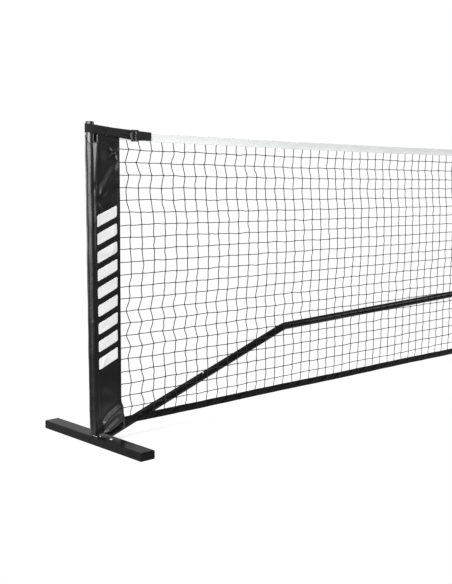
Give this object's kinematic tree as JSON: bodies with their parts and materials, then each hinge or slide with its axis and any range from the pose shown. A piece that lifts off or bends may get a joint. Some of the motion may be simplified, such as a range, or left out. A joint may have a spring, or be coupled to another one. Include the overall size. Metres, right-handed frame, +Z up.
{
  "type": "pickleball net",
  "caption": "Portable court net: tubular frame on three floor feet, cord mesh with a white top tape, vinyl post sleeves and buckled tension straps.",
  "frame": {"origin": "on the floor, under the middle of the net", "axes": "+X along the net, towards the right-hand post as seen from the side the net hangs on; +Y from the net's side towards the frame's back; +Z up"},
  "size_m": [6.7346, 0.486, 0.938],
  "materials": {
    "frame_paint": "semi-gloss powder coat",
    "inner_steel": "plain",
    "zinc_plate": "bright zinc",
    "cap_plastic": "moulded",
    "buckle_plastic": "moulded",
    "webbing": "woven webbing",
    "vinyl": "coated fabric, glossy",
    "white_tape": "woven tape",
    "white_print": "screen print",
    "net_cord": "braided cord"
  },
  "bodies": {
    "frame": {"foot_left": "frame_paint", "foot_caps_left": "cap_plastic", "base_tongue_left": "inner_steel", "post_spigot_left": "inner_steel", "foot_bolts_left": "zinc_plate", "base_arm_left": "frame_paint", "post_left": "frame_paint", "post_cap_left": "cap_plastic", "knee_tube_left": "frame_paint", "bar_tube_outer_left": "frame_paint", "bar_tube_inner_left": "frame_paint", "hub_spigot_left": "inner_steel", "strap_left": "webbing", "tape_anchor_left": "webbing", "sleeve_left": "vinyl", "foot_right": "frame_paint", "foot_caps_right": "cap_plastic", "base_tongue_right": "inner_steel", "post_spigot_right": "inner_steel", "foot_bolts_right": "zinc_plate", "base_arm_right": "frame_paint", "post_right": "frame_paint", "post_cap_right": "cap_plastic", "knee_tube_right": "frame_paint", "bar_tube_outer_right": "frame_paint", "bar_tube_inner_right": "frame_paint", "hub_spigot_right": "inner_steel", "strap_right": "webbing", "tape_anchor_right": "webbing", "sleeve_right": "vinyl", "middle_foot": "frame_paint", "middle_foot_caps": "cap_plastic", "middle_upright": "frame_paint", "middle_cap": "cap_plastic", "middle_pocket": "vinyl", "top_tape": "white_tape", "bottom_hem": "vinyl", "mesh_panel_1": "net_cord", "mesh_panel_2": "net_cord", "mesh_panel_3": "net_cord", "mesh_panel_4": "net_cord", "mesh_panel_5": "net_cord", "mesh_panel_6": "net_cord"},
    "arm_button_left_body": {"arm_button_left": "zinc_plate"},
    "knee_button_left_body": {"knee_button_left": "zinc_plate"},
    "bar_button_left_body": {"bar_button_left": "zinc_plate"},
    "hub_button_left_body": {"hub_button_left": "zinc_plate"},
    "buckle_left_body": {"buckle_left": "buckle_plastic", "strap_turn_left": "webbing"},
    "arm_button_right_body": {"arm_button_right": "zinc_plate"},
    "knee_button_right_body": {"knee_button_right": "zinc_plate"},
    "bar_button_right_body": {"bar_button_right": "zinc_plate"},
    "hub_button_right_body": {"hub_button_right": "zinc_plate"},
    "buckle_right_body": {"buckle_right": "buckle_plastic", "strap_turn_right": "webbing"}
  },
  "joints": [
    {"name": "arm_button_left_press", "type": "slide", "parent": "frame", "child": "arm_button_left_body", "axis": [0.2945, 0.342, -0.8924], "range_m": [0, 0.0044], "stiffness_N_per_m": 900},
    {"name": "knee_button_left_press", "type": "slide", "parent": "frame", "child": "knee_button_left_body", "axis": [-0.0206, 0.5736, 0.8189], "range_m": [0, 0.0044], "stiffness_N_per_m": 900},
    {"name": "bar_button_left_press", "type": "slide", "parent": "frame", "child": "bar_button_left_body", "axis": [-0.0206, 0.5736, 0.8189], "range_m": [0, 0.0044], "stiffness_N_per_m": 900},
    {"name": "hub_button_left_press", "type": "slide", "parent": "frame", "child": "hub_button_left_body", "axis": [-0.0206, 0.5736, 0.8189], "range_m": [0, 0.0044], "stiffness_N_per_m": 900},
    {"name": "buckle_left_tilt", "type": "hinge", "parent": "frame", "child": "buckle_left_body", "pos_m": [-3.1962, -0.0206, 0.8985], "axis": [0, 0, 1], "range_deg": [0, 40], "stiffness_Nm_per_rad": 0.05},
    {"name": "arm_button_right_press", "type": "slide", "parent": "frame", "child": "arm_button_right_body", "axis": [-0.2945, -0.342, -0.8924], "range_m": [0, 0.0044], "stiffness_N_per_m": 900},
    {"name": "knee_button_right_press", "type": "slide", "parent": "frame", "child": "knee_button_right_body", "axis": [0.0206, -0.5736, 0.8189], "range_m": [0, 0.0044], "stiffness_N_per_m": 900},
    {"name": "bar_button_right_press", "type": "slide", "parent": "frame", "child": "bar_button_right_body", "axis": [0.0206, -0.5736, 0.8189], "range_m": [0, 0.0044], "stiffness_N_per_m": 900},
    {"name": "hub_button_right_press", "type": "slide", "parent": "frame", "child": "hub_button_right_body", "axis": [0.0206, -0.5736, 0.8189], "range_m": [0, 0.0044], "stiffness_N_per_m": 900},
    {"name": "buckle_right_tilt", "type": "hinge", "parent": "frame", "child": "buckle_right_body", "pos_m": [3.1962, -0.0206, 0.8985], "axis": [0, 0, -1], "range_deg": [0, 40], "stiffness_Nm_per_rad": 0.05}
  ]
}
